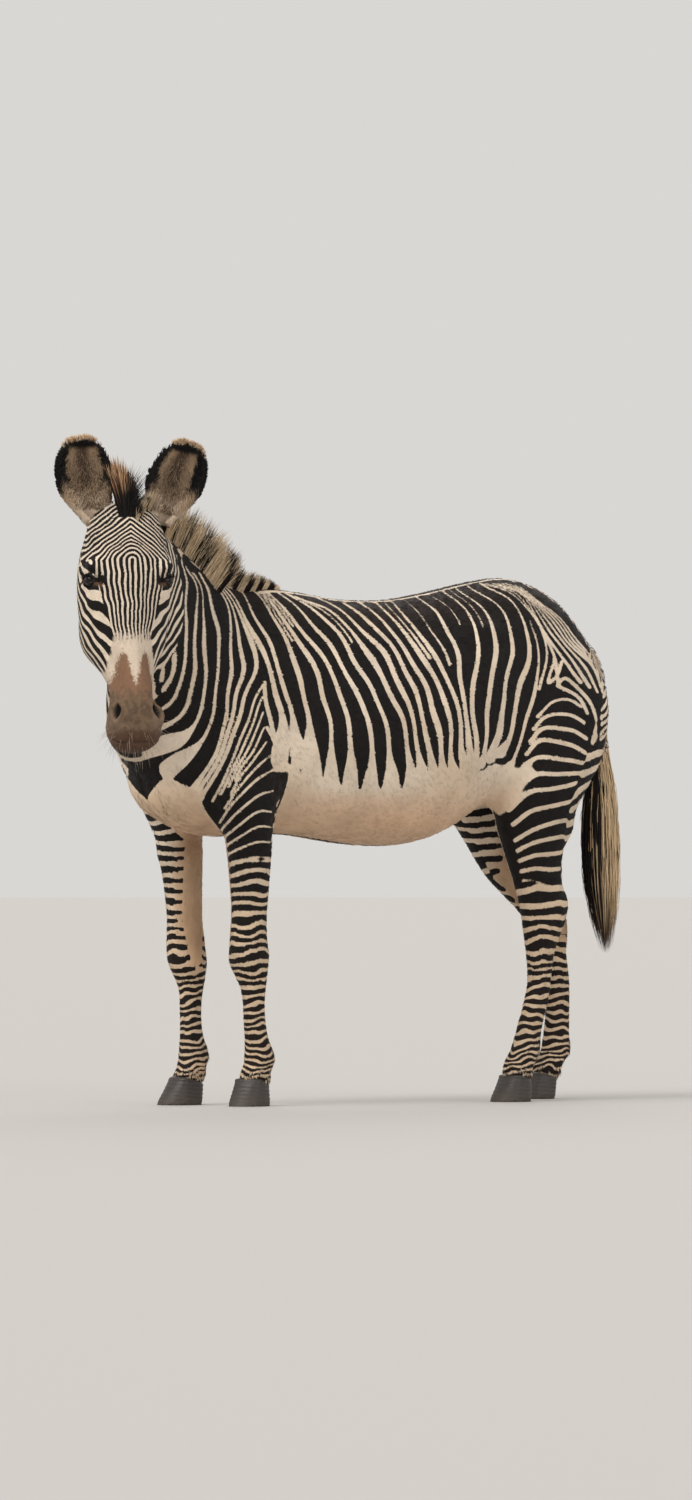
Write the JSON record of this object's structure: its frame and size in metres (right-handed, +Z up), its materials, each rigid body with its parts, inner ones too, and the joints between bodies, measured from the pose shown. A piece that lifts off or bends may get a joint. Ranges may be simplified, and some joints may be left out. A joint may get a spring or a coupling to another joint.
{
  "type": "standing grevy's zebra model",
  "caption": "Life-size still model of a standing Grevy's zebra, its head turned to the left, resting on its hooves.",
  "frame": {"origin": "on the floor, under the middle of the whole model's box", "axes": "+Z up, the body faces -Y, its left side is +X, and the head is turned to its left"},
  "size_m": [0.7054, 2.0994, 1.8941],
  "materials": {
    "coat": "short dense fur, black and cream stripes",
    "hair": "coarse upright and hanging hair",
    "horn": "dark grey worn horn",
    "eye": "wet dark brown eye"
  },
  "bodies": {
    "root": {"ear_left": "coat", "ear_right": "coat", "eye_left": "eye", "eye_right": "eye", "fore_hoof_left": "horn", "fore_hoof_right": "horn", "foreleg_left": "coat", "foreleg_right": "coat", "forelock": "hair", "head": "coat", "hind_hoof_left": "horn", "hind_hoof_right": "horn", "hindleg_left": "coat", "hindleg_right": "coat", "mane": "hair", "neck": "coat", "tail_dock": "coat", "tail_switch": "hair", "trunk": "coat"}
  },
  "joints": []
}
